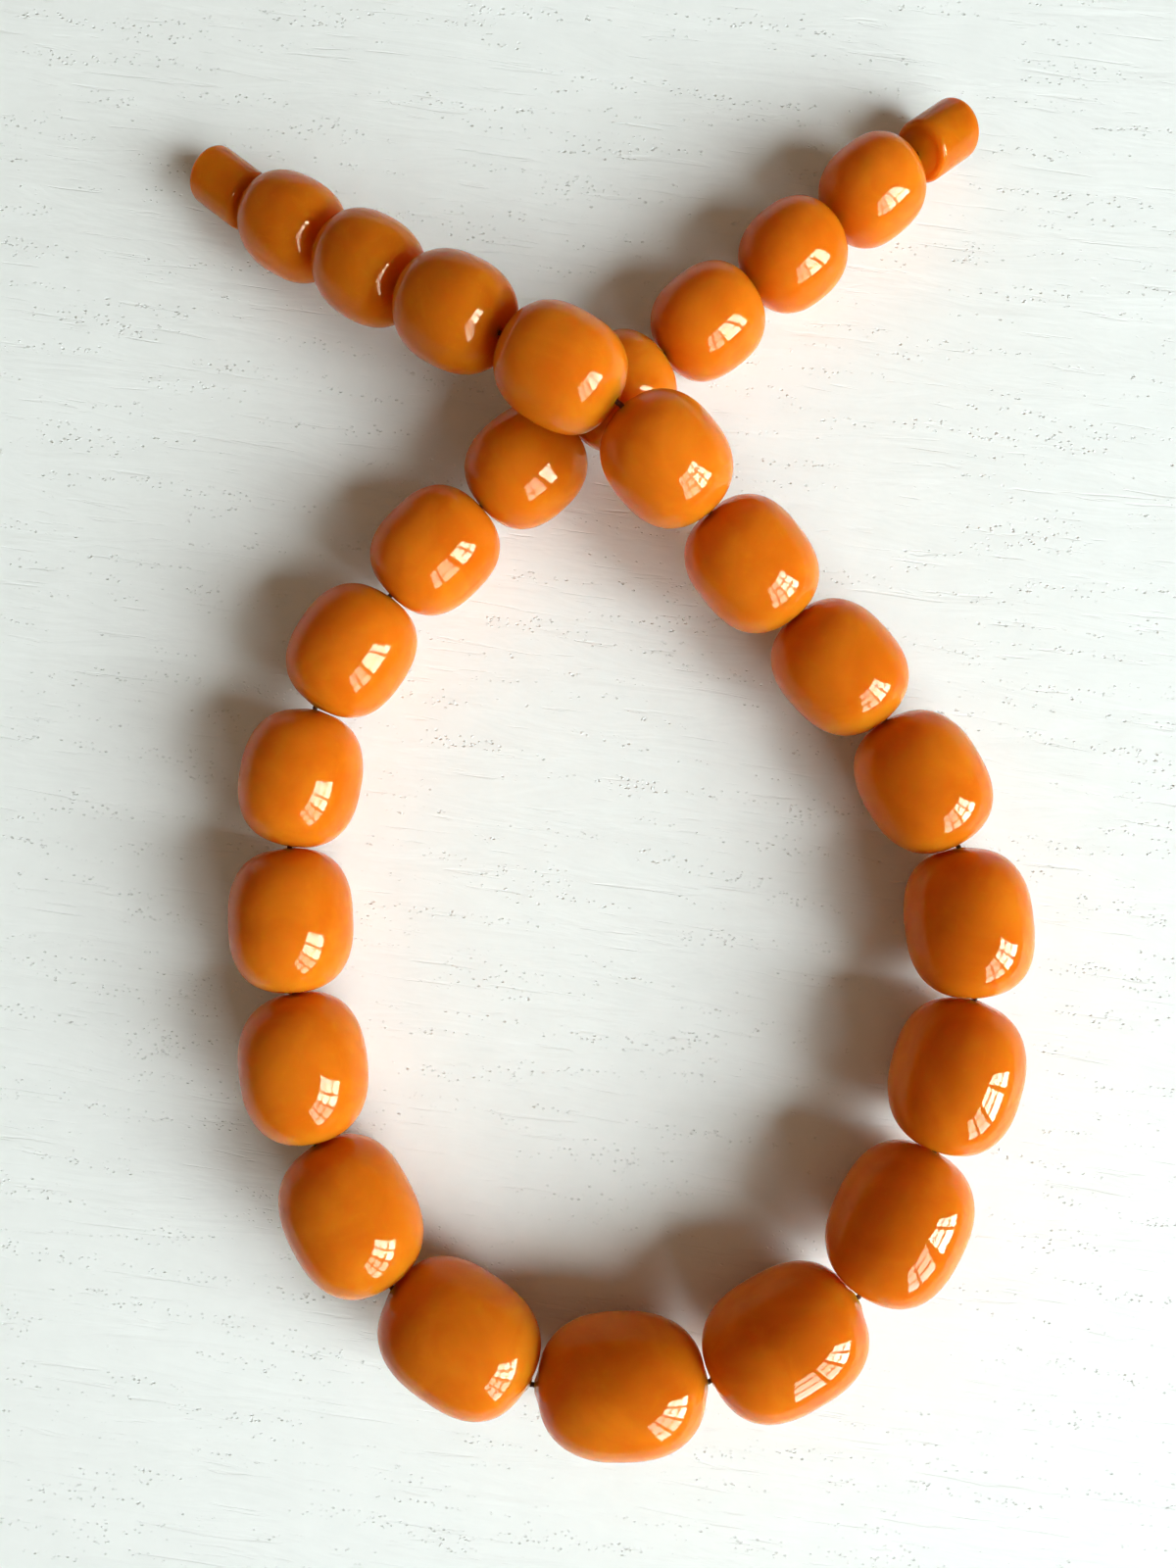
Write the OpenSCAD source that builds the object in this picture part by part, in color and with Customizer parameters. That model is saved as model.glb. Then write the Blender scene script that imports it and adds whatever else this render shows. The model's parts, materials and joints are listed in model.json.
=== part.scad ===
// An open strand of graduated barrel beads of translucent amber-coloured resin.
// The beads hang on one thin cord that ends in the two halves of a small screw clasp.
// The strand lies on a table as a loop whose two tails cross near the clasp.
// All sizes are in millimetres, +Z is up and the table is the plane z = 0.

/* [Beads] */
// Length of the middle and largest bead, along its bore
bead_len_mid = 28.2; // [20:0.2:36]
// Length of the end bead beside the stud half of the clasp
bead_len_stud_end = 17.4; // [12:0.2:24]
// Length of the end bead beside the socket half of the clasp
bead_len_socket_end = 16.2; // [12:0.2:24]
// Diameter of the middle bead
bead_dia_mid = 22.6; // [16:0.2:30]
// Diameter of both end beads
bead_dia_end = 16.8; // [10:0.2:22]
// How square a bead's outline is: 2 is an ellipse, more is a fuller barrel
barrel_power = 2.5; // [2:0.1:4]
// Diameter of the bore along each bead
bore_dia = 1.6; // [1:0.1:3]
// Clearance between the neighbouring beads of the loop
bead_gap = 0.1; // [0.1:0.05:1]
// Clearance between neighbours wherever the tails flex
flex_gap = 0.4; // [0.3:0.05:1]

/* [Cord] */
// Thickness of the stringing cord
cord_dia = 0.9; // [0.4:0.1:1.4]
// Diameter of the knot that ends the cord in each half of the clasp
knot_dia = 2.4; // [1.8:0.1:3]

/* [Clasp] */
// Length of one half of the clasp, without its stud
clasp_len = 10; // [7:0.5:16]
// Diameter of the clasp
clasp_dia = 10.3; // [7:0.1:14]
// Rounding of the clasp's edges
clasp_round = 1.1; // [0.3:0.1:2]
// Diameter over the threads of the stud
stud_dia = 4; // [3.6:0.1:6]
// Length of the stud beyond its half's face
stud_len = 1.9; // [1.5:0.1:5]

/* [Hidden] */

// Pieces are numbered along the cord: 0 is the stud half, 1 to 25 the beads, 26 the socket half
first_bead = 1;
last_bead = 25;
stud_half = 0;
socket_half = last_bead + 1;
mid_bead = (first_bead + last_bead) / 2;
beads_per_arm = mid_bead - first_bead;
// The loop's own beads, on the stretch of cord that the two flexing tails leave from
loop_first = 6;
loop_last = 22;

// Where the middle bead stands in plan
anchor_x = 3.2;
anchor_y = -102.2;
// Heading of each piece's bore seen from above, in degrees, from the stud half to the socket half
heading = [-39,
           -34, -35, -32, -32, -46, -48, -47, -60, -84, -105, -117, -150,
           -178,
           -214, -242, -262, -268, -280, -304, -316, -319, -322, -323, -321, -321,
           -320];
// Climb of the stud tail's pieces over the crossing, in degrees, from the stud half to bead 7
climb = [8, 19, 19, 21, 4, -22, -17, -6];
// Droop of the socket half, which rests its rim on the table
socket_droop = -19;

// How far a clasp half can bend sideways from its bead, in degrees
clasp_swing = 12;
// Length left out of the cord on each side of a place where it flexes
flex_cut = 0.15;
bore_rad = bore_dia / 2;
rad_step = (bead_dia_mid - bead_dia_end) / 2 / beads_per_arm;
joint_bulge = 1.15;
socket_dia = stud_dia + 0.2;
socket_depth = stud_len + 0.6;
knot_bore_dia = knot_dia + 0.4;
// Depth of the knot's seat, counted from the clasp half's face
knot_seat_depth = clasp_len * 0.6;
knot_clearance = 0.1;
knot_tail = 0.8;
barrel_steps = 24;
round_steps = 5;
curve_fn = 96;
knot_fn = 48;

function is_clasp(i) = i == stud_half || i == socket_half;
function graded(i, at_mid, at_end) =
    at_mid + (at_end - at_mid) * abs(i - mid_bead) / beads_per_arm;
function end_len(i) = i < mid_bead ? bead_len_stud_end : bead_len_socket_end;
function half_len(i) = (is_clasp(i) ? clasp_len : graded(i, bead_len_mid, end_len(i))) / 2;
function rad(i) = (is_clasp(i) ? clasp_dia : graded(i, bead_dia_mid, bead_dia_end)) / 2;

// Beads on the table get smaller away from the middle one, so the cord slopes down with them
function table_slope(i) = sign(mid_bead - i) * asin(rad_step / (2 * half_len(i) + bead_gap));
function pitch(i) =
    i < len(climb) ? climb[i] : i == socket_half ? socket_droop : table_slope(i);
function along(i) =
    [cos(heading[i]) * cos(pitch(i)), sin(heading[i]) * cos(pitch(i)), sin(pitch(i))];

// The bend of the cord where pieces j - 1 and j meet, and the bend that they must leave room for
function bend(j) = acos(min(1, along(j - 1) * along(j)));
function room(j) = bend(j) + (is_clasp(j - 1) || is_clasp(j) ? clasp_swing : 0);

// How far a piece reaches towards a plane that leans by angle a from square to its axis
barrel_dual = barrel_power / (barrel_power - 1);
function bead_support(i, a) =
    pow(pow(half_len(i) * cos(a), barrel_dual) + pow(rad(i) * sin(a), barrel_dual),
        1 / barrel_dual);
function clasp_support(i, a) =
    (half_len(i) - clasp_round) * cos(a) + (rad(i) - clasp_round) * sin(a) + clasp_round;
function support(i, a) = is_clasp(i) ? clasp_support(i, a) : bead_support(i, a);
// Clearance between pieces j - 1 and j
function gap(j) = j > loop_first && j <= loop_last ? bead_gap : flex_gap;
// From a piece's middle to the cord's corner j at its end, so that the neighbours stay gap(j) apart
function reach(i, j) = (support(i, room(j) / 2) + gap(j) / 2) / cos(room(j) / 2);
function reach_back(i) = reach(i, i);
function reach_on(i) = reach(i, i + 1);

// The strand is walked outwards from the middle bead, link by link
function link(j) = reach_on(j - 1) * along(j - 1) + reach_back(j) * along(j);
function centre(i) =
    i == mid_bead ? [anchor_x, anchor_y, rad(mid_bead)]
    : i > mid_bead ? centre(i - 1) + link(i)
    : centre(i + 1) - link(i + 1);

// Places its children at piece i, with local +Z along the cord towards the socket half
module on_cord(i) {
    translate(centre(i)) rotate([0, 90 - pitch(i), heading[i]]) children();
}

// Half outline of a barrel: a curve between an ellipse and a box
function barrel_point(h, r, a) =
    [r * pow(cos(a), 2 / barrel_power), sign(a) * h * pow(abs(sin(a)), 2 / barrel_power)];

module barrel(h, r) {
    rotate_extrude($fn = curve_fn)
        polygon([for (k = [0 : barrel_steps])
                 k == 0 ? [0, -h] : k == barrel_steps ? [0, h]
                 : barrel_point(h, r, -90 + 180 * k / barrel_steps)]);
}

module bead(i) {
    color("darkorange") on_cord(i) difference() {
        barrel(half_len(i), rad(i));
        cylinder(h = 2 * half_len(i) + 2, r = bore_rad, center = true, $fn = curve_fn);
    }
}

// A quarter circle of the rounded edge about [x, z], from angle a onwards
function edge_arc(x, z, a) =
    [for (k = [0 : round_steps])
     [x + clasp_round * cos(a + 90 * k / round_steps),
      z + clasp_round * sin(a + 90 * k / round_steps)]];

// A clasp half's solid body with its meeting face at +Z
module clasp_blank() {
    x = clasp_dia / 2 - clasp_round;
    z = clasp_len / 2 - clasp_round;
    rotate_extrude($fn = curve_fn)
        polygon(concat([[0, -clasp_len / 2]], edge_arc(x, -z, -90), edge_arc(x, z, 0),
                       [[0, clasp_len / 2]]));
}

// The cord's bore and the wider bore that the knot is pulled into, open at the face
module clasp_bores() {
    seat = clasp_len / 2 - knot_seat_depth;
    translate([0, 0, -clasp_len])
        cylinder(h = 2 * clasp_len, r = bore_rad, $fn = curve_fn);
    translate([0, 0, seat])
        cylinder(h = clasp_len, r = knot_bore_dia / 2, $fn = curve_fn);
}

module clasp_stud_half() {
    color("orange") on_cord(stud_half) rotate([180, 0, 0]) difference() {
        union() {
            clasp_blank();
            cylinder(h = clasp_len / 2 + stud_len, r = stud_dia / 2, $fn = curve_fn);
        }
        clasp_bores();
    }
}

module clasp_socket_half() {
    color("orange") on_cord(socket_half) difference() {
        clasp_blank();
        clasp_bores();
        translate([0, 0, clasp_len / 2 - socket_depth])
            cylinder(h = clasp_len, r = socket_dia / 2, $fn = curve_fn);
    }
}

// Height of the knot's middle in its half, counted from the half's own middle towards the face
knot_at = clasp_len / 2 - knot_seat_depth + knot_clearance + knot_dia / 2;

// The knot is a ball with the cord's own bore through it
module knot(i, side) {
    color("saddlebrown") on_cord(i) translate([0, 0, side * knot_at]) difference() {
        sphere(d = knot_dia, $fn = knot_fn);
        cylinder(h = 2 * knot_dia, d = cord_dia, center = true, $fn = curve_fn);
    }
}

// A straight length of cord in piece i, from below to above its middle
module cord_run(i, below, above) {
    on_cord(i) translate([0, 0, -below])
        cylinder(h = below + above, d = cord_dia, $fn = curve_fn);
}

// The cord through one bead of a tail, which flexes at both of the bead's mouths
module cord_link(i) {
    color("sienna") cord_run(i, reach_back(i) - flex_cut, reach_on(i) - flex_cut);
}

// The cord through the whole loop, with a small bulge where it turns from bead to bead
module cord_loop() {
    color("sienna") union() {
        for (i = [loop_first : loop_last]) {
            cord_run(i,
                     reach_back(i) - (i == loop_first ? flex_cut : 0),
                     reach_on(i) - (i == loop_last ? flex_cut : 0));
        }
        for (i = [loop_first : loop_last - 1]) {
            on_cord(i) translate([0, 0, reach_on(i)])
                sphere(d = joint_bulge * cord_dia, $fn = knot_fn);
        }
    }
}

// The cord's last length, from a knot out of the clasp half to the first bead
module cord_stud_end() {
    color("sienna")
        cord_run(stud_half, knot_at + knot_dia / 2 + knot_tail, reach_on(stud_half) - flex_cut);
}

module cord_socket_end() {
    color("sienna")
        cord_run(socket_half, reach_back(socket_half) - flex_cut,
                 knot_at + knot_dia / 2 + knot_tail);
}

bead(1);  // bead_01
bead(2);  // bead_02
bead(3);  // bead_03
bead(4);  // bead_04
bead(5);  // bead_05
bead(6);  // bead_06
bead(7);  // bead_07
bead(8);  // bead_08
bead(9);  // bead_09
bead(10);  // bead_10
bead(11);  // bead_11
bead(12);  // bead_12
bead(13);  // bead_13
bead(14);  // bead_14
bead(15);  // bead_15
bead(16);  // bead_16
bead(17);  // bead_17
bead(18);  // bead_18
bead(19);  // bead_19
bead(20);  // bead_20
bead(21);  // bead_21
bead(22);  // bead_22
bead(23);  // bead_23
bead(24);  // bead_24
bead(25);  // bead_25
clasp_stud_half();
clasp_socket_half();
knot(stud_half, -1);  // knot_stud_end
knot(socket_half, 1);  // knot_socket_end
cord_loop();
cord_stud_end();
cord_link(1);  // cord_bead_01
cord_link(2);  // cord_bead_02
cord_link(3);  // cord_bead_03
cord_link(4);  // cord_bead_04
cord_link(5);  // cord_bead_05
cord_link(23);  // cord_bead_23
cord_link(24);  // cord_bead_24
cord_link(25);  // cord_bead_25
cord_socket_end();
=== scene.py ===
"""An open strand of graduated barrel beads on a cord, with one half of a screw clasp at each end.

Lengths are in metres, in the frame's own axes: +Z up off the table, +Y towards the two clasp halves.
Pieces of the strand are numbered from its stud end: 0 is the stud half of the clasp, 1 to 25 are the
beads, and 26 is the socket half.
"""

import json
import math

import bmesh
import bpy
from mathutils import Matrix, Vector, noise

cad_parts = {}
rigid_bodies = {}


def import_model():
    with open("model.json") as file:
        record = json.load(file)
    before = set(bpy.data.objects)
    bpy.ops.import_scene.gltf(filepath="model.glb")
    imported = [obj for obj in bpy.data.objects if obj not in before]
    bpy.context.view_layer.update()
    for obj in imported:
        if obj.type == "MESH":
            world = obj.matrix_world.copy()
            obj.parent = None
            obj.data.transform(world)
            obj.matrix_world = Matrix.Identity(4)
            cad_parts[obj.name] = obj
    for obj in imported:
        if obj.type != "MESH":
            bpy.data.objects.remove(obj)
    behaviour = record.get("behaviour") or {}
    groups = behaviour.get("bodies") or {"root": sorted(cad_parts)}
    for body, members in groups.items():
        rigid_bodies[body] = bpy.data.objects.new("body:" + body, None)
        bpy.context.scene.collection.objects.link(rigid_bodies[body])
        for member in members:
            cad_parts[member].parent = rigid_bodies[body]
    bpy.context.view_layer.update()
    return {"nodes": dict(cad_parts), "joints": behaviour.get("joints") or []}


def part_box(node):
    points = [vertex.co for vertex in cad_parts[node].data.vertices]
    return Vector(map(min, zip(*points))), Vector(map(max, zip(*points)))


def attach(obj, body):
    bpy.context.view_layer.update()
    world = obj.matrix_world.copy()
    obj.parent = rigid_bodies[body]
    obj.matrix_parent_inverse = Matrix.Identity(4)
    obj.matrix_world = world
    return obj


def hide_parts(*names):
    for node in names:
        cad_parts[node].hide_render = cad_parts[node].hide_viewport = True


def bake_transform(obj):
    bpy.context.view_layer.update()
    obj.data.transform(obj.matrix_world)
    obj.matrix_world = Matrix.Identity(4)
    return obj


MM = 0.001
BEADS = 25
STUD_HALF = 0
SOCKET_HALF = BEADS + 1

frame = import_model()
joints = {joint["name"]: joint for joint in frame["joints"]}

# ---- The strand, as the frame gives it


def piece_name(i):
    """The CAD node of piece i."""
    if i == STUD_HALF:
        return "clasp_stud_half"
    if i == SOCKET_HALF:
        return "clasp_socket_half"
    return f"bead_{i:02d}"


def centre(i):
    """The middle of piece i, on the cord."""
    return Vector(joints[piece_name(i) + "_spin"]["pos_m"])


def along(i):
    """The cord's direction through piece i, towards the socket end."""
    return Vector(joints[piece_name(i) + "_spin"]["axis"])


def cord_body(i):
    """The body that holds the cord inside piece i."""
    return joints[piece_name(i) + "_spin"]["parent"]


def cad_reach(i):
    """Half the length of piece i along the cord, and its largest radius, from its CAD mesh."""
    middle = centre(i)
    axis = along(i)
    half_length = 0
    radius = 0
    for vertex in frame["nodes"][piece_name(i)].data.vertices:
        offset = vertex.co - middle
        distance = offset.dot(axis)
        half_length = max(half_length, abs(distance))
        radius = max(radius, (offset - axis * distance).length)
    return half_length, radius


# Two axes closer to parallel than this are taken as one line
PARALLEL = 1e-6


def corner(i):
    """The point between pieces i and i + 1 where the cord turns: where their two axes come closest."""
    p, u = centre(i), along(i)
    q, v = centre(i + 1), along(i + 1)
    gap = q - p
    turn = u.dot(v)
    spread = 1 - turn * turn
    if spread < PARALLEL:
        return (p + q) / 2
    s = (gap.dot(u) - gap.dot(v) * turn) / spread
    t = (gap.dot(u) * turn - gap.dot(v)) / spread
    return (p + u * s + q + v * t) / 2


# ---- Node tree helpers


def new_material(name):
    """A new material, its node tree and its Principled shader."""
    material = bpy.data.materials.new(name)
    material.use_nodes = True
    tree = material.node_tree
    return material, tree, tree.nodes["Principled BSDF"]


def add(tree, kind, **settings):
    """A new node with the given properties."""
    node = tree.nodes.new(kind)
    for key, value in settings.items():
        setattr(node, key, value)
    return node


def object_coordinates(tree, stretch=(1, 1, 1), turn=0):
    """Coordinates fixed to the object: turned about Z, and then packed closer by stretch along each axis."""
    source = add(tree, "ShaderNodeTexCoord")
    mapping = add(tree, "ShaderNodeMapping", vector_type="TEXTURE")
    mapping.inputs["Scale"].default_value = [1 / each for each in stretch]
    mapping.inputs["Rotation"].default_value = (0, 0, turn)
    tree.links.new(source.outputs["Object"], mapping.inputs["Vector"])
    return mapping.outputs["Vector"]


def noise_value(tree, vector, scale, detail=2.0, roughness=0.5, distortion=0.0):
    """The value of a 3-D noise. scale is in lumps to the metre."""
    node = add(tree, "ShaderNodeTexNoise")
    node.inputs["Scale"].default_value = scale
    node.inputs["Detail"].default_value = detail
    node.inputs["Roughness"].default_value = roughness
    node.inputs["Distortion"].default_value = distortion
    tree.links.new(vector, node.inputs["Vector"])
    return node.outputs["Fac"]


def remap(tree, value, low, high, to_low=0.0, to_high=1.0):
    """value, moved from low..high to to_low..to_high and clamped."""
    node = add(tree, "ShaderNodeMapRange")
    node.inputs["From Min"].default_value = low
    node.inputs["From Max"].default_value = high
    node.inputs["To Min"].default_value = to_low
    node.inputs["To Max"].default_value = to_high
    tree.links.new(value, node.inputs["Value"])
    return node.outputs["Result"]


def mix_colour(tree, factor, first, second):
    """first where factor is 0 and second where it is 1. Each is a colour or a socket."""
    node = add(tree, "ShaderNodeMix", data_type="RGBA")
    tree.links.new(factor, node.inputs[0])
    for socket, colour in ((node.inputs[6], first), (node.inputs[7], second)):
        if isinstance(colour, tuple):
            socket.default_value = (*colour, 1)
        else:
            tree.links.new(colour, socket)
    return node.outputs[2]


def add_values(tree, first, second, share=1.0):
    """first plus share times second."""
    node = add(tree, "ShaderNodeMath", operation="MULTIPLY_ADD")
    tree.links.new(second, node.inputs[0])
    node.inputs[1].default_value = share
    tree.links.new(first, node.inputs[2])
    return node.outputs[0]


def multiply(tree, first, second):
    """first times second."""
    node = add(tree, "ShaderNodeMath", operation="MULTIPLY")
    tree.links.new(first, node.inputs[0])
    tree.links.new(second, node.inputs[1])
    return node.outputs[0]


# How far from a spot's middle its rim is, and the edge of its full depth, as shares of a cell
SPOT_RIM = 0.24
SPOT_FLOOR = 0.08
# The share of the cells whose spots are fainter than the rest
FAINT_SPOTS = 0.02


def spots(tree, vector, size, share, clusters):
    """1 inside small round spots and 0 elsewhere.

    The space is cut into cells of about the given size. share is the share of the cells that hold a spot.
    Spots fade away where clusters does.
    """
    node = add(tree, "ShaderNodeTexVoronoi")
    node.inputs["Scale"].default_value = 1 / size
    tree.links.new(vector, node.inputs["Vector"])
    split = add(tree, "ShaderNodeSeparateColor")
    tree.links.new(node.outputs["Color"], split.inputs["Color"])
    chosen = multiply(tree, remap(tree, split.outputs[0], share, share - FAINT_SPOTS), clusters)
    inside = remap(tree, node.outputs["Distance"], SPOT_RIM, SPOT_FLOOR)
    return multiply(tree, chosen, inside)


def bump(tree, shader, height, distance):
    """A bump on shader. height is in units of distance."""
    node = add(tree, "ShaderNodeBump")
    node.inputs["Distance"].default_value = distance
    node.inputs["Strength"].default_value = 1.0
    tree.links.new(height, node.inputs["Height"])
    tree.links.new(node.outputs["Normal"], shader.inputs["Normal"])


# ---- Materials

# How far red, green and blue light go in the resin, as shares of its light_reach
RESIN_COLOUR_REACH = (1.0, 0.33, 0.1)
RESIN_FLOW_COLOUR = (0.64, 0.24, 0.01)


def resin_material(name, deep, bright, cloud_size, light_reach):
    """Polished butterscotch resin: translucent, with soft clouds, fine flow lines and hairline scratches.

    deep and bright are the colours that the clouds vary between.
    """
    material, tree, shader = new_material(name)
    place = object_coordinates(tree)
    clouds = noise_value(tree, place, 1 / cloud_size, detail=3, roughness=0.55, distortion=0.8)
    colour = mix_colour(tree, remap(tree, clouds, 0.3, 0.7), deep, bright)
    flow_place = object_coordinates(tree, stretch=(1, 1, 2.2), turn=0.6)
    flow = noise_value(tree, flow_place, 260, detail=4, roughness=0.6, distortion=2.5)
    colour = mix_colour(tree, remap(tree, flow, 0.55, 0.75, 0, 0.2), colour, RESIN_FLOW_COLOUR)
    tree.links.new(colour, shader.inputs["Base Color"])
    scratches = noise_value(tree, object_coordinates(tree, stretch=(1, 9, 1), turn=0.9), 900)
    smears = noise_value(tree, place, 170)
    finish = add_values(tree, smears, scratches, 0.5)
    tree.links.new(remap(tree, finish, 0.6, 1.0, 0.015, 0.05), shader.inputs["Roughness"])
    bump(tree, shader, noise_value(tree, place, 160, detail=1, roughness=0.4), 0.008 * MM)
    shader.inputs["IOR"].default_value = 1.54
    shader.inputs["Specular IOR Level"].default_value = 0.12
    shader.inputs["Specular Tint"].default_value = (1.0, 0.85, 0.6, 1)
    shader.inputs["Subsurface Weight"].default_value = 1.0
    shader.inputs["Subsurface Radius"].default_value = RESIN_COLOUR_REACH
    shader.inputs["Subsurface Scale"].default_value = light_reach
    return material


CORD_DARK = (0.07, 0.014, 0.004)
CORD_LIGHT = (0.17, 0.040, 0.010)


def cord_material():
    """Dark brown waxed thread."""
    material, tree, shader = new_material("cord_thread")
    fibres = noise_value(tree, object_coordinates(tree), 4000, detail=3, roughness=0.6)
    colour = mix_colour(tree, remap(tree, fibres, 0.3, 0.7), CORD_DARK, CORD_LIGHT)
    tree.links.new(colour, shader.inputs["Base Color"])
    shader.inputs["Roughness"].default_value = 0.7
    shader.inputs["Specular IOR Level"].default_value = 0.08
    bump(tree, shader, fibres, 0.04 * MM)
    return material


# The board's grain runs a little down to the right, in radians
GRAIN_TURN = -0.14
PAINT_DARK = (0.85, 0.90, 0.905)
PAINT_LIGHT = (0.88, 0.93, 0.935)
# The pits are drawn a little darker than the paint: painted shade in them
PIT_PAINTED_SHADE = (0.30, 0.28, 0.26)


def table_material():
    """White painted board: brush strokes, a few open lines of grain, and rows of small pits and blisters,
    with painted shade in the pits.
    """
    material, tree, shader = new_material("painted_table")

    def along_grain(stretch):
        return object_coordinates(tree, (1, stretch, 1), GRAIN_TURN)

    strokes = noise_value(tree, along_grain(5), 30, detail=4, roughness=0.55, distortion=0.6)
    grain = noise_value(tree, along_grain(14), 50, detail=3, roughness=0.6, distortion=0.5)
    lines = remap(tree, grain, 0.62, 0.70)
    lumps = noise_value(tree, object_coordinates(tree), 130, detail=3, roughness=0.6)
    rows = noise_value(tree, along_grain(8), 36, detail=3, roughness=0.6)
    clusters = remap(tree, rows, 0.53, 0.58)
    pits = spots(tree, along_grain(1.6), 1.4 * MM, 0.75, clusters)
    blisters = spots(tree, along_grain(1.4), 1.1 * MM, 0.82, clusters)
    tone = mix_colour(tree, remap(tree, lumps, 0.3, 0.7), PAINT_DARK, PAINT_LIGHT)
    # Painted shade: the colour darkens a little inside the pits
    tone = mix_colour(tree, remap(tree, pits, 0, 1, 0, 0.05), tone, PIT_PAINTED_SHADE)
    tree.links.new(tone, shader.inputs["Base Color"])
    height = strokes
    for layer, share in ((lumps, 0.25), (lines, -0.2), (pits, -0.55), (blisters, 0.45)):
        height = add_values(tree, height, layer, share)
    bump(tree, shader, height, 0.32 * MM)
    shader.inputs["Roughness"].default_value = 0.6
    shader.inputs["Specular IOR Level"].default_value = 0.04
    return material


CLOUDS = 11 * MM
BEAD_REACH = 20 * MM
BEAD_RESIN = resin_material("bead_resin", (0.54, 0.132, 0.004), (0.63, 0.182, 0.008), CLOUDS, BEAD_REACH)
# A darker copy of the bead resin for the first beads of the stud tail: painted shade
SHADED_TAIL_RESIN = resin_material("tail_resin_painted_shade", (0.46, 0.110, 0.003), (0.54, 0.148, 0.005), CLOUDS, BEAD_REACH)
CLASP_RESIN = resin_material("clasp_resin", (0.45, 0.11, 0.002), (0.50, 0.14, 0.004), 7 * MM, 10 * MM)
CORD_THREAD = cord_material()
TABLE_PAINT = table_material()

# ---- Meshes

SHARP_ANGLE = math.radians(40)


def link_object(name, mesh, material):
    """A new object in the scene, from a bmesh."""
    data = bpy.data.meshes.new(name)
    bmesh.ops.recalc_face_normals(mesh, faces=mesh.faces)
    mesh.to_mesh(data)
    mesh.free()
    data.materials.append(material)
    data.shade_smooth()
    data.set_sharp_from_angle(angle=SHARP_ANGLE)
    made = bpy.data.objects.new(name, data)
    bpy.context.scene.collection.objects.link(made)
    return made


def across(axis):
    """Two directions square to axis and to each other."""
    side = axis.cross(Vector((0, 0, 1))).normalized()
    return side, side.cross(axis).normalized()


def turned(name, middle, axis, outline, sides, material, radius_at):
    """A solid turned about axis from a closed outline of (distance along it, radius).

    radius_at(distance, radius, angle) changes the radius round the solid.
    """
    side, up = across(axis)
    mesh = bmesh.new()
    rings = []
    for distance, radius in outline:
        ring = []
        for k in range(sides):
            angle = 2 * math.pi * k / sides
            spoke = (side * math.cos(angle) + up * math.sin(angle)) * radius_at(distance, radius, angle)
            ring.append(mesh.verts.new(middle + axis * distance + spoke))
        rings.append(ring)
    for this, following in zip(rings, rings[1:] + rings[:1]):
        for k in range(sides):
            n = (k + 1) % sides
            mesh.faces.new((this[k], this[n], following[n], following[k]))
    return link_object(name, mesh, material)


# ---- Beads

BORE_RADIUS = 0.8 * MM
BARREL_POWER = 2.5
BEAD_SIDES = 128
PROFILE_STEPS = 56
MOUTH_ROUND = 0.25 * MM
MOUTH_STEPS = 5
# Near the bore each end swells out towards its neighbour. It stops a little short of where the cord turns,
# and further short where the cord flexes.
CROWN_RADIUS = 2.9 * MM
CROWN_CLEARANCE = 0.05 * MM
FLEX_CLEARANCE = 0.17 * MM
# How far the beads are from true barrels. All but the spread of the power are shares of the radius.
POWER_SPREAD = 0.08
LEAN = 0.005
OVAL = 0.004
LUMPS = 0.004
LUMP_SCALE = 1.3
# The beads nearest the stud end get a darker copy of the resin: painted shade, for the shade that falls on
# them from the raised beads of the tail
SHADED_TAIL_BEADS = 3


def swell(i, j, half_length):
    """How far the end of piece i that faces piece j swells out round its bore."""
    bend = corner(min(i, j))
    slope = math.tan(along(i).angle(along(j)) / 2)
    flexes = cord_body(i) != cord_body(j)
    clearance = (BORE_RADIUS + MOUTH_ROUND) * slope + (FLEX_CLEARANCE if flexes else CROWN_CLEARANCE)
    return max(0, (bend - centre(i)).length - half_length - clearance)


def barrel_outline(half_length, radius, power, crowns):
    """A barrel's outline from one mouth of its bore to the other, and back through the bore.

    crowns is how far the low end and the high end swell out round the bore.
    """
    def swelled(distance, r):
        crown = crowns[1] if distance > 0 else crowns[0]
        rise = crown * max(0, 1 - (r / CROWN_RADIUS) ** 2) ** 2
        return distance + math.copysign(rise, distance), r

    outside = []
    for k in range(1, PROFILE_STEPS):
        t = math.pi * k / PROFILE_STEPS
        r = radius * math.sin(t) ** (2 / power)
        distance = half_length * math.copysign(abs(math.cos(t)) ** (2 / power), -math.cos(t))
        if r > BORE_RADIUS + MOUTH_ROUND:
            outside.append((distance, r))
    mouth = []
    for k in range(MOUTH_STEPS + 1):
        t = math.pi / 2 * k / MOUTH_STEPS
        drop = MOUTH_ROUND * (1 - math.cos(t))
        mouth.append((half_length - drop, BORE_RADIUS + MOUTH_ROUND * (1 - math.sin(t))))
    outline = outside + mouth + [(-distance, r) for distance, r in reversed(mouth)]
    return [swelled(distance, r) for distance, r in outline]


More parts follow.
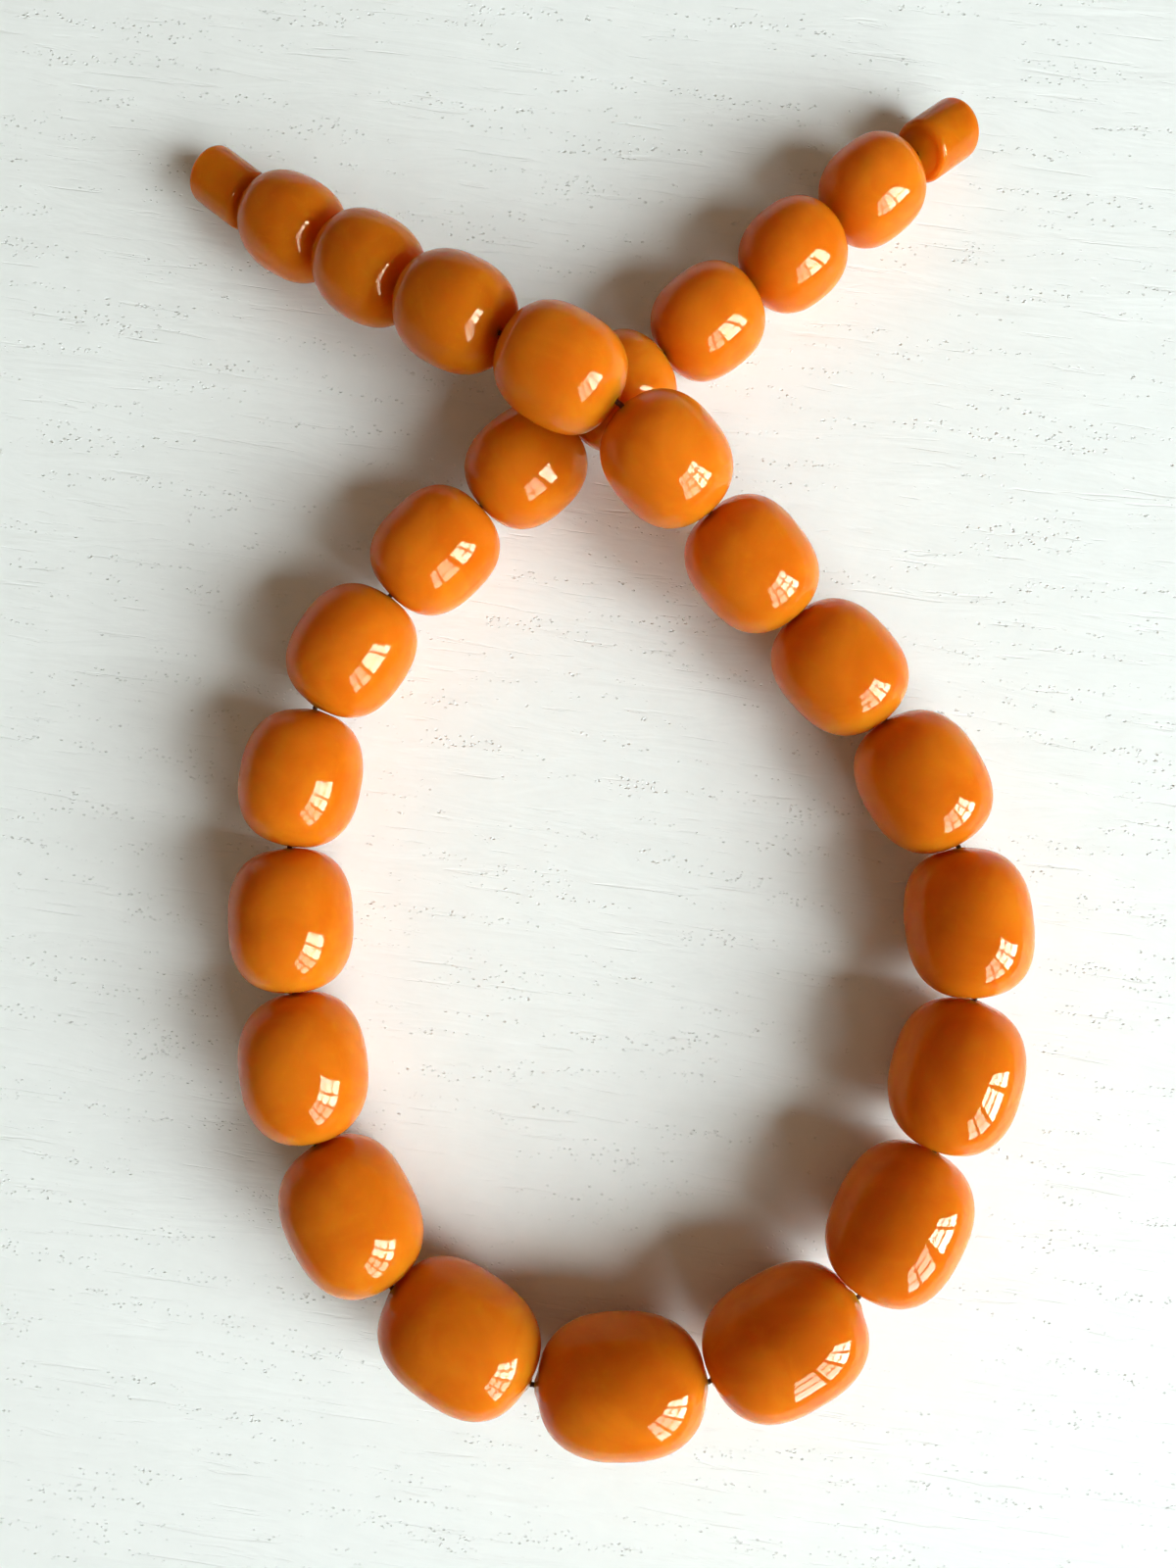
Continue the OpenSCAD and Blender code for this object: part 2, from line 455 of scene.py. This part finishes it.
def bead(i):
    """Bead i: a hand-finished barrel, a little out of round, that turns on the cord."""
    half_length, radius = cad_reach(i)
    # Waves of different lengths along the strand, so that no two beads are alike
    power = BARREL_POWER + POWER_SPREAD * math.sin(2.3 * i)
    lean = LEAN * math.sin(1.7 * i)
    oval = OVAL * math.cos(3.1 * i)
    oval_turn = 0.8 * i
    noise_start = Vector((5.0 * i, 0, 0))

    def radius_at(distance, r, angle):
        # The bore and the rim of its mouth stay round
        if r < BORE_RADIUS + 3 * MOUTH_ROUND:
            return r
        place = Vector((math.cos(angle), math.sin(angle), 2 * distance / half_length)) * LUMP_SCALE
        lumps = noise.noise(place + noise_start) * LUMPS
        leaning = lean * distance / half_length
        return r * (1 - LUMPS + leaning + oval * math.cos(2 * angle + oval_turn) + lumps)

    name = piece_name(i)
    crowns = (swell(i, i - 1, half_length), swell(i, i + 1, half_length))
    outline = barrel_outline(half_length, radius, power, crowns)
    # The first beads of the stud tail take the darker copy of the resin: painted shade
    resin = SHADED_TAIL_RESIN if i <= SHADED_TAIL_BEADS else BEAD_RESIN
    made = turned(name + "_body", centre(i), along(i), outline, BEAD_SIDES, resin, radius_at)
    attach(made, name)
    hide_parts(name)


# ---- Clasp

CLASP_SIDES = 128
CLASP_LENGTH = 10 * MM
CLASP_ROUND = 1.1 * MM
EDGE_STEPS = 8
DOME_RADIUS = 3.8 * MM
DOME_STEPS = 8
STUD_RADIUS = 2.0 * MM
STUD_LENGTH = 1.9 * MM
STUD_FOOT = 0.4 * MM
STUD_CHAMFER = 0.2 * MM
STUD_STEPS = 40
SOCKET_RADIUS = 2.1 * MM
SOCKET_DEPTH = 2.5 * MM
SOCKET_CHAMFER = 0.15 * MM
SOCKET_STEPS = 48
THREAD_PITCH = 0.6 * MM
THREAD_DEPTH = 0.25 * MM
KNOT_BORE_RADIUS = 1.4 * MM
KNOT_BORE_CHAMFER = 0.1 * MM
KNOT_SEAT_DEPTH = 6.0 * MM
KNOT_SEAT_TAPER = 0.6 * MM
CORD_MOUTH_CHAMFER = 0.2 * MM
CORD_MOUTH_DEPTH = 0.3 * MM
# The walls are plain for this far at the stud's foot and the socket's floor, and at the socket's mouth
PLAIN_WALL = 0.1 * MM
SOCKET_LEAD = 0.2 * MM
# Less than this counts as no distance
TINY = 0.01 * MM


def edge_arc(end, radius, first, last):
    """The rounded edge of a clasp half, where the face at end meets the side at radius.

    Angles are in degrees: 0 points out along the radius and 90 along the axis, away from the middle.
    """
    way = math.copysign(1, end)
    arc = []
    for k in range(EDGE_STEPS + 1):
        t = math.radians(first + (last - first) * k / EDGE_STEPS)
        arc.append((end - way * CLASP_ROUND * (1 - math.sin(t)), radius - CLASP_ROUND * (1 - math.cos(t))))
    return arc


def steps(first, last, count):
    """count + 1 distances from first to last."""
    return [first + (last - first) * k / count for k in range(count + 1)]


def domed_face(face, rise):
    """The clasp half's inner face, which swells out round the bore, from the bore outwards."""
    mouth = BORE_RADIUS + CORD_MOUTH_CHAMFER
    return [(face - rise * (1 - (r / DOME_RADIUS) ** 2), r) for r in steps(mouth, DOME_RADIUS, DOME_STEPS)]


def thread(distance, angle):
    """How far into a V thread a point is, from 0 at the crest to 1 at the root."""
    turns = distance / THREAD_PITCH - angle / (2 * math.pi)
    return 2 * abs(turns - math.floor(turns) - 0.5)


def clasp_half(i, way, outer_face, radius_at):
    """A clasp half: a cylinder with rounded rims that turns on the cord, bored for the cord and its knot.

    way is 1 at the strand's socket end and -1 at its stud end. outer_face is the outline of the face that
    looks away from the beads, from its rim in to the knot's bore.
    """
    name = piece_name(i)
    half = CLASP_LENGTH / 2
    radius = cad_reach(i)[1]
    seat = half - KNOT_SEAT_DEPTH
    rise = swell(i, i - way, half)
    outline = domed_face(-half, rise)
    outline += edge_arc(-half, radius, 90, 0)
    outline += edge_arc(half, radius, 0, 90)
    outline += outer_face
    outline += [(seat, KNOT_BORE_RADIUS), (seat - KNOT_SEAT_TAPER, BORE_RADIUS)]
    outline += [(-half - rise + CORD_MOUTH_DEPTH, BORE_RADIUS)]
    made = turned(name + "_body", centre(i), along(i) * way, outline, CLASP_SIDES, CLASP_RESIN, radius_at)
    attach(made, name)
    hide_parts(name)


def clasp_stud_half():
    """The half with the screw stud on its outer face."""
    foot = CLASP_LENGTH / 2
    tip = foot + STUD_LENGTH
    outer_face = [(foot, STUD_RADIUS + STUD_FOOT)]
    outer_face += [(distance, STUD_RADIUS) for distance in steps(foot, tip - STUD_CHAMFER, STUD_STEPS)]
    outer_face += [(tip, STUD_RADIUS - STUD_CHAMFER), (tip, KNOT_BORE_RADIUS + KNOT_BORE_CHAMFER)]
    outer_face += [(tip - KNOT_BORE_CHAMFER, KNOT_BORE_RADIUS)]

    def radius_at(distance, r, angle):
        on_thread = distance > foot + PLAIN_WALL and abs(r - STUD_RADIUS) < TINY
        return r - THREAD_DEPTH * thread(distance, angle) if on_thread else r

    clasp_half(STUD_HALF, -1, outer_face, radius_at)


def clasp_socket_half():
    """The half with the threaded socket in its outer face."""
    face = CLASP_LENGTH / 2
    floor = face - SOCKET_DEPTH
    wall = steps(face - SOCKET_CHAMFER - TINY, floor + TINY, SOCKET_STEPS)
    outer_face = [(face, SOCKET_RADIUS + SOCKET_CHAMFER), (face - SOCKET_CHAMFER, SOCKET_RADIUS)]
    outer_face += [(distance, SOCKET_RADIUS) for distance in wall]
    outer_face += [(floor, SOCKET_RADIUS - THREAD_DEPTH), (floor, KNOT_BORE_RADIUS)]

    def radius_at(distance, r, angle):
        on_wall = abs(r - SOCKET_RADIUS) < TINY
        on_thread = on_wall and floor + PLAIN_WALL < distance < face - SOCKET_LEAD
        return r - THREAD_DEPTH * (1 - thread(distance, angle)) if on_thread else r

    clasp_half(SOCKET_HALF, 1, outer_face, radius_at)


# ---- Cord

CORD_RADIUS = 0.45 * MM
PLIES = 3
PLY_RADIUS = CORD_RADIUS * 0.5
PLY_SIDES = 7
TWIST_LENGTH = 2.4 * MM
CORD_STEP = 0.2 * MM
LOOP_FILLET = 2.5 * MM
TAIL_FILLET = 1.5 * MM
FILLET_STEPS = 12
# A fillet takes up no more than this share of the line on each side of its corner
FILLET_SHARE = 0.45
# At a flexing gap the cord bends over this length on each side of its corner
KNOT_RADIUS = 1.2 * MM
KNOT_STRAND = 0.45 * MM
# How far the knot's strand weaves along the cord, as a share of how far it goes round it
KNOT_DEPTH = 0.55
KNOT_STEPS = 96
KNOT_SIDES = 12
# How far the cord runs on past the knot
CORD_TAIL = 0.6 * MM
# The first and the last bead of the loop, whose cord doesn't flex
LOOP_FIRST = 6
LOOP_LAST = 22


def rounded_path(points, fillet):
    """The line through points, with each corner rounded off over up to fillet on each side, in even steps."""
    dense = [points[0]]
    for before, here, after in zip(points, points[1:], points[2:]):
        cut = min(fillet, (here - before).length * FILLET_SHARE, (after - here).length * FILLET_SHARE)
        start = here + (before - here).normalized() * cut
        end = here + (after - here).normalized() * cut
        for k in range(FILLET_STEPS + 1):
            t = k / FILLET_STEPS
            dense.append(start * (1 - t) ** 2 + here * 2 * t * (1 - t) + end * t**2)
    dense.append(points[-1])
    return even_steps(dense, CORD_STEP)


def even_steps(points, step):
    """The same line with its points about one step apart."""
    lengths = [(b - a).length for a, b in zip(points, points[1:])]
    count = max(2, round(sum(lengths) / step))
    spacing = sum(lengths) / count
    made = []
    segment = 0
    passed = 0.0
    for k in range(count + 1):
        target = k * spacing
        while segment < len(lengths) - 1 and passed + lengths[segment] < target:
            passed += lengths[segment]
            segment += 1
        share = min(1, (target - passed) / lengths[segment])
        made.append(points[segment].lerp(points[segment + 1], share))
    return made


def path_frames(path):
    """At each point of path: its direction and one direction square to it that doesn't twist."""
    directions = []
    for k in range(len(path)):
        ahead = path[min(k + 1, len(path) - 1)] - path[max(k - 1, 0)]
        directions.append(ahead.normalized())
    side = across(directions[0])[0]
    frames = []
    for direction in directions:
        side = (side - direction * side.dot(direction)).normalized()
        frames.append((direction, side))
    return frames


def add_tube(mesh, path, radius, sides):
    """A round closed tube along path, added to mesh."""
    rings = []
    for point, (direction, side) in zip(path, path_frames(path)):
        up = direction.cross(side)
        ring = []
        for k in range(sides):
            angle = 2 * math.pi * k / sides
            ring.append(mesh.verts.new(point + (side * math.cos(angle) + up * math.sin(angle)) * radius))
        rings.append(ring)
    for this, following in zip(rings, rings[1:]):
        for k in range(sides):
            n = (k + 1) % sides
            mesh.faces.new((this[k], this[n], following[n], following[k]))
    mesh.faces.new(rings[0])
    mesh.faces.new(rings[-1])


def twisted_cord(name, path):
    """Three plies of thread, twisted round each other along path."""
    frames = path_frames(path)
    mesh = bmesh.new()
    for ply in range(PLIES):
        ply_path = []
        for k, (point, (direction, side)) in enumerate(zip(path, frames)):
            angle = 2 * math.pi * (k * CORD_STEP / TWIST_LENGTH + ply / PLIES)
            up = direction.cross(side)
            offset = side * math.cos(angle) + up * math.sin(angle)
            ply_path.append(point + offset * (CORD_RADIUS - PLY_RADIUS))
        add_tube(mesh, ply_path, PLY_RADIUS, PLY_SIDES)
    made = link_object(name, mesh, CORD_THREAD)
    return made


def cord_loop():
    """The cord from the middle of the loop's first bead to the middle of its last, round the loop."""
    points = [centre(LOOP_FIRST)]
    for i in range(LOOP_FIRST, LOOP_LAST):
        points.append(corner(i))
    points.append(centre(LOOP_LAST))
    made = twisted_cord("cord_loop_thread", rounded_path(points, LOOP_FILLET))
    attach(made, cord_body(LOOP_FIRST))
    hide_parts("cord_loop")


def cord_flex(i, start, end):
    """The cord from start in piece i to end in piece i + 1, which bends where their cord bodies meet."""
    bend = corner(i)
    made = twisted_cord(f"cord_thread_{i:02d}_{i + 1:02d}", rounded_path([start, bend, end], TAIL_FILLET))
    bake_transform(made)
    return made


def cord_in_tail(pieces, ends):
    """The flexing lengths of cord of one tail, from each of pieces to the next one.

    They run from middle to middle, except in the clasp half, where ends says at which point the cord ends.
    """
    for i in pieces:
        start = ends.get(i, centre(i))
        end = ends.get(i + 1, centre(i + 1))
        made = cord_flex(i, start, end)
        for j in (i, i + 1):
            if cord_body(j) != cord_body(LOOP_FIRST) and j not in ends:
                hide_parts(f"cord_bead_{j:02d}")
            elif j == STUD_HALF:
                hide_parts("cord_stud_end")
            elif j == SOCKET_HALF:
                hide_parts("cord_socket_end")


def knot_middle(node):
    """The middle of a knot's CAD node."""
    low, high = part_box(node)
    return (low + high) / 2


def cord_end(i, way, node):
    """Where the cord ends in clasp half i, just past the knot. way is as for clasp_half."""
    return knot_middle(node) + along(i) * way * (KNOT_RADIUS + CORD_TAIL)


def knot(i, node):
    """An overhand knot pulled tight in clasp half i, with its axis along the cord."""
    middle = knot_middle(node)
    axis = along(i)
    side, up = across(axis)
    size = KNOT_RADIUS - KNOT_STRAND
    path = []
    for k in range(KNOT_STEPS + 1):
        t = 2 * math.pi * k / KNOT_STEPS
        side_part = (math.sin(t) + 2 * math.sin(2 * t)) / 3
        up_part = (math.cos(t) - 2 * math.cos(2 * t)) / 3
        axis_part = -math.sin(3 * t) * KNOT_DEPTH
        path.append(middle + (side * side_part + up * up_part + axis * axis_part) * size)
    mesh = bmesh.new()
    add_tube(mesh, path, KNOT_STRAND, KNOT_SIDES)
    made = link_object(node + "_tied", mesh, CORD_THREAD)
    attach(made, cord_body(i))
    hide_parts(node)


# ---- Table, light and camera

TABLE_SIZE = 1.5
WINDOW_DISTANCE = 1.4
WINDOW_AZIMUTH = math.radians(-40)
SASH_WIDTH = 0.76
SASH_GAP = 0.09
SASH_BOTTOM = 0.38
SASH_TOP = 1.68
PANE_COLUMNS = 2
PANE_ROWS = 3
BAR = 0.08
# The panes stand this far in front of the soft daylight, so that neither hides the other
PANE_OFFSET = 0.01
DAYLIGHT_POWER = 49
DAYLIGHT_COLOUR = (0.92, 1.0, 1.0)
PANE_RADIANCE = 88
# Each sash's side of the window, and its share of the daylight and of the panes' brightness
SASHES = ((1, 1.0, 1.0), (-1, 0.38, 0.42))
ROOM_COLOUR = (1.0, 0.72, 0.48)
ROOM_STRENGTH_LEVEL = 0.145
ROOM_STRENGTH_ABOVE = 0.21
SENSOR_HEIGHT = 36
FOCAL_LENGTH = 27.05
CAMERA_PLACE = (0.0030, -0.0020, 0.2074)
CAMERA_TARGET = (-0.0027, -0.0022, 0)


def aim(made, target, up):
    """Turns an object at its place to look at target, with up towards the top of its view."""
    forward = (target - made.location).normalized()
    right = forward.cross(up).normalized()
    top = right.cross(forward)
    turn = Matrix((right, top, -forward)).transposed()
    made.rotation_euler = turn.to_euler()


def table():
    """The painted table top."""
    mesh = bmesh.new()
    bmesh.ops.create_grid(mesh, x_segments=2, y_segments=2, size=TABLE_SIZE)
    made = link_object("table_top", mesh, TABLE_PAINT)


def area_light(name, place, toward, width, height, power):
    """A rectangle of daylight in the window, at place.

    toward points from the strand to the window, and the light shines the other way.
    """
    light = bpy.data.lights.new(name, "AREA")
    light.shape = "RECTANGLE"
    light.size = width
    light.size_y = height
    light.energy = power
    light.color = DAYLIGHT_COLOUR
    made = bpy.data.objects.new(name, light)
    made.location = place
    aim(made, place - toward, Vector((0, 0, 1)))
    bpy.context.scene.collection.objects.link(made)
    return made


def middles(count, pitch):
    """Where the middles of count things in a row are, pitch apart and even about 0."""
    return [(k - (count - 1) / 2) * pitch for k in range(count)]


def window():
    """A window with two sashes: the room's soft daylight, and the panes that the polished beads mirror."""
    toward = Vector((math.cos(WINDOW_AZIMUTH), math.sin(WINDOW_AZIMUTH), 0))
    sideways = Vector((-toward.y, toward.x, 0))
    up = Vector((0, 0, 1))
    sash_height = SASH_TOP - SASH_BOTTOM
    pane_width = (SASH_WIDTH - (PANE_COLUMNS - 1) * BAR) / PANE_COLUMNS
    pane_height = (sash_height - (PANE_ROWS - 1) * BAR) / PANE_ROWS
    for sash, daylight, brightness in SASHES:
        middle = toward * WINDOW_DISTANCE + up * (SASH_BOTTOM + SASH_TOP) / 2
        middle += sideways * sash * (SASH_WIDTH + SASH_GAP) / 2
        power = DAYLIGHT_POWER * daylight
        glow = area_light(f"daylight_{sash}", middle, toward, SASH_WIDTH, sash_height, power)
        glow.visible_glossy = False
        # An area light's power is its radiance times its area and pi
        power = PANE_RADIANCE * brightness * pane_width * pane_height * math.pi
        for column, across_by in enumerate(middles(PANE_COLUMNS, pane_width + BAR)):
            for row, up_by in enumerate(middles(PANE_ROWS, pane_height + BAR)):
                place = middle - toward * PANE_OFFSET + sideways * across_by + up * up_by
                name = f"pane_{sash}_{column}_{row}"
                pane = area_light(name, place, toward, pane_width, pane_height, power)
                pane.visible_diffuse = False
                pane.visible_transmission = False


def room_light():
    """Dim warm light from the rest of the room, a little stronger from above than from the table's level."""
    world = bpy.data.worlds.new("room")
    world.use_nodes = True
    tree = world.node_tree
    background = tree.nodes["Background"]
    background.inputs["Color"].default_value = (*ROOM_COLOUR, 1)
    source = add(tree, "ShaderNodeTexCoord")
    split = add(tree, "ShaderNodeSeparateXYZ")
    tree.links.new(source.outputs["Generated"], split.inputs["Vector"])
    strength = remap(tree, split.outputs["Z"], 0.0, 0.7, ROOM_STRENGTH_LEVEL, ROOM_STRENGTH_ABOVE)
    tree.links.new(strength, background.inputs["Strength"])
    bpy.context.scene.world = world


def camera():
    """A phone held level above the strand, a little to the right of its middle."""
    lens = bpy.data.cameras.new("camera")
    lens.sensor_fit = "VERTICAL"
    lens.sensor_height = SENSOR_HEIGHT
    lens.lens = FOCAL_LENGTH
    lens.clip_start = 10 * MM
    made = bpy.data.objects.new("camera", lens)
    made.location = CAMERA_PLACE
    aim(made, Vector(CAMERA_TARGET), Vector((0, 1, 0)))
    bpy.context.scene.collection.objects.link(made)
    bpy.context.scene.camera = made
    bpy.context.scene.view_settings.view_transform = "Standard"


# ---- The scene

for number in range(1, BEADS + 1):
    bead(number)
clasp_stud_half()
clasp_socket_half()
cord_loop()
cord_in_tail(range(STUD_HALF, LOOP_FIRST), {STUD_HALF: cord_end(STUD_HALF, -1, "knot_stud_end")})
cord_in_tail(range(LOOP_LAST, SOCKET_HALF), {SOCKET_HALF: cord_end(SOCKET_HALF, 1, "knot_socket_end")})
knot(STUD_HALF, "knot_stud_end")
knot(SOCKET_HALF, "knot_socket_end")
table()
window()
room_light()
camera()
